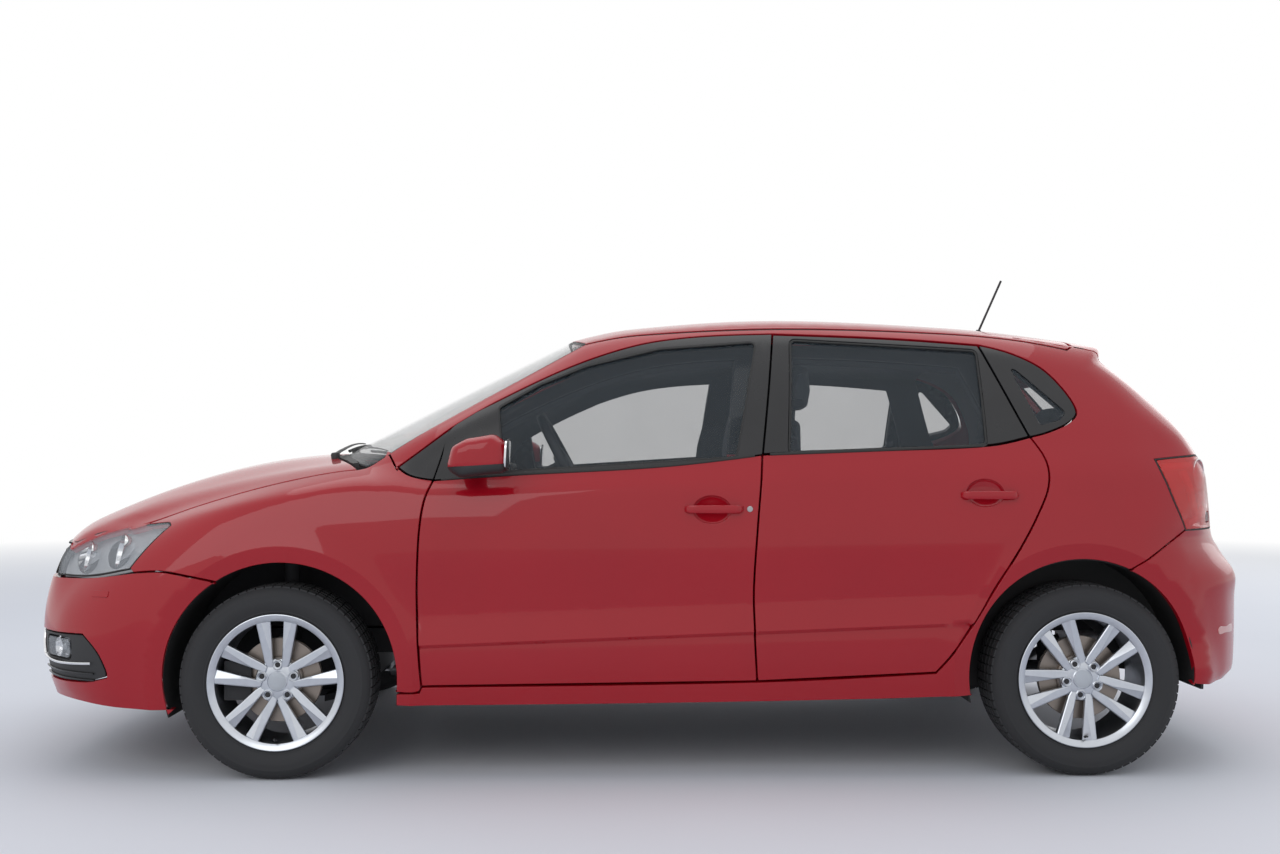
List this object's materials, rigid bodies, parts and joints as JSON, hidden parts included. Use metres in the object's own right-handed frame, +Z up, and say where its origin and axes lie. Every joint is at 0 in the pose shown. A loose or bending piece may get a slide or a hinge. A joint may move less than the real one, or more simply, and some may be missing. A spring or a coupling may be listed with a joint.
{
  "type": "hatchback car",
  "caption": "Compact hatchback car with hinged side doors, bonnet and tailgate, steered front wheels and rolling road wheels, glazed cabin and boot.",
  "frame": {"origin": "on the ground below the middle of the car, halfway between its bumpers", "axes": "+Z up, nose towards -X, the car's left side towards -Y"},
  "size_m": [3.9725, 1.896, 1.6316],
  "materials": {
    "paint": "deep glossy red clear-coated paint",
    "glass": "lightly tinted safety glass",
    "lamp_clear": "clear lamp lens over bright reflectors",
    "lamp_red": "red lamp lens",
    "black_plastic": "grained black plastic",
    "gloss_black": "smooth black plastic",
    "alloy": "silver lacquered cast alloy",
    "tyre": "road tyre rubber",
    "underbody": "coated underbody metal and liners",
    "steel": "bare steel",
    "iron": "cast iron and aluminium block",
    "seat_fabric": "woven dark grey seat cloth",
    "dash": "soft grained cabin plastic"
  },
  "bodies": {
    "body_shell": {"antenna": "black_plastic", "body_side_left": "paint", "body_side_right": "paint", "cowl": "black_plastic", "dashboard": "dash", "engine": "iron", "exhaust": "steel", "fender_left": "paint", "fender_right": "paint", "floor_pan": "underbody", "front_bumper": "paint", "front_seats": "seat_fabric", "front_subframe": "underbody", "grille": "black_plastic", "head_lamps": "lamp_clear", "lower_grille": "black_plastic", "quarter_windows": "glass", "rear_axle": "underbody", "rear_bumper": "paint", "rear_seat": "seat_fabric", "roof_panel": "paint", "tail_lamps": "lamp_red", "windscreen": "glass"},
    "door_front_left": {"door_front_left": "paint", "door_glass_front_left": "glass", "mirror_left": "paint"},
    "door_rear_left": {"door_rear_left": "paint", "door_glass_rear_left": "glass"},
    "knuckle_left": {"knuckle_left": "steel"},
    "wheel_front_left": {"rim_front_left": "alloy", "tyre_front_left": "tyre"},
    "wheel_rear_left": {"rim_rear_left": "alloy", "tyre_rear_left": "tyre"},
    "door_front_right": {"door_front_right": "paint", "door_glass_front_right": "glass", "mirror_right": "paint"},
    "door_rear_right": {"door_rear_right": "paint", "door_glass_rear_right": "glass"},
    "knuckle_right": {"knuckle_right": "steel"},
    "wheel_front_right": {"rim_front_right": "alloy", "tyre_front_right": "tyre"},
    "wheel_rear_right": {"rim_rear_right": "alloy", "tyre_rear_right": "tyre"},
    "bonnet": {"bonnet": "paint"},
    "tailgate": {"tailgate": "paint", "rear_window": "glass"},
    "steering_wheel": {"steering_wheel": "dash"}
  },
  "joints": [
    {"name": "door_front_left_hinge", "type": "hinge", "parent": "body_shell", "child": "door_front_left", "pos_m": [-0.637, -0.824, 0.6], "axis": [0, 0, -1], "range_deg": [0, 65]},
    {"name": "door_rear_left_hinge", "type": "hinge", "parent": "body_shell", "child": "door_rear_left", "pos_m": [0.392, -0.824, 0.6], "axis": [0, 0, -1], "range_deg": [0, 65]},
    {"name": "door_front_right_hinge", "type": "hinge", "parent": "body_shell", "child": "door_front_right", "pos_m": [-0.637, 0.824, 0.6], "axis": [0, 0, 1], "range_deg": [0, 65]},
    {"name": "door_rear_right_hinge", "type": "hinge", "parent": "body_shell", "child": "door_rear_right", "pos_m": [0.392, 0.824, 0.6], "axis": [0, 0, 1], "range_deg": [0, 65]},
    {"name": "bonnet_hinge", "type": "hinge", "parent": "body_shell", "child": "bonnet", "pos_m": [-0.905, 0, 0.955], "axis": [0, 1, 0], "range_deg": [0, 55]},
    {"name": "tailgate_hinge", "type": "hinge", "parent": "body_shell", "child": "tailgate", "pos_m": [1.414, 0, 1.394], "axis": [0, -1, 0], "range_deg": [0, 80]},
    {"name": "steer_left", "type": "hinge", "parent": "body_shell", "child": "knuckle_left", "pos_m": [-1.126, -0.661, 0.294], "axis": [0, 0, 1], "range_deg": [-35, 35]},
    {"name": "spin_front_left", "type": "hinge", "parent": "knuckle_left", "child": "wheel_front_left", "pos_m": [-1.126, -0.731, 0.294], "axis": [0, 1, 0], "continuous": true},
    {"name": "spin_rear_left", "type": "hinge", "parent": "body_shell", "child": "wheel_rear_left", "pos_m": [1.344, -0.728, 0.294], "axis": [0, 1, 0], "continuous": true},
    {"name": "steer_right", "type": "hinge", "parent": "body_shell", "child": "knuckle_right", "pos_m": [-1.126, 0.661, 0.294], "axis": [0, 0, 1], "range_deg": [-35, 35]},
    {"name": "spin_front_right", "type": "hinge", "parent": "knuckle_right", "child": "wheel_front_right", "pos_m": [-1.126, 0.731, 0.294], "axis": [0, 1, 0], "continuous": true},
    {"name": "spin_rear_right", "type": "hinge", "parent": "body_shell", "child": "wheel_rear_right", "pos_m": [1.344, 0.728, 0.294], "axis": [0, 1, 0], "continuous": true},
    {"name": "steering_turn", "type": "hinge", "parent": "body_shell", "child": "steering_wheel", "pos_m": [-0.262, -0.365, 0.95], "axis": [0.8829, 0, 0.4695], "range_deg": [-525, 525]}
  ],
  "couplings": [
    {"joint": "steer_right", "follows": "steer_left", "ratio": 1},
    {"joint": "steering_turn", "follows": "steer_left", "ratio": 15}
  ]
}
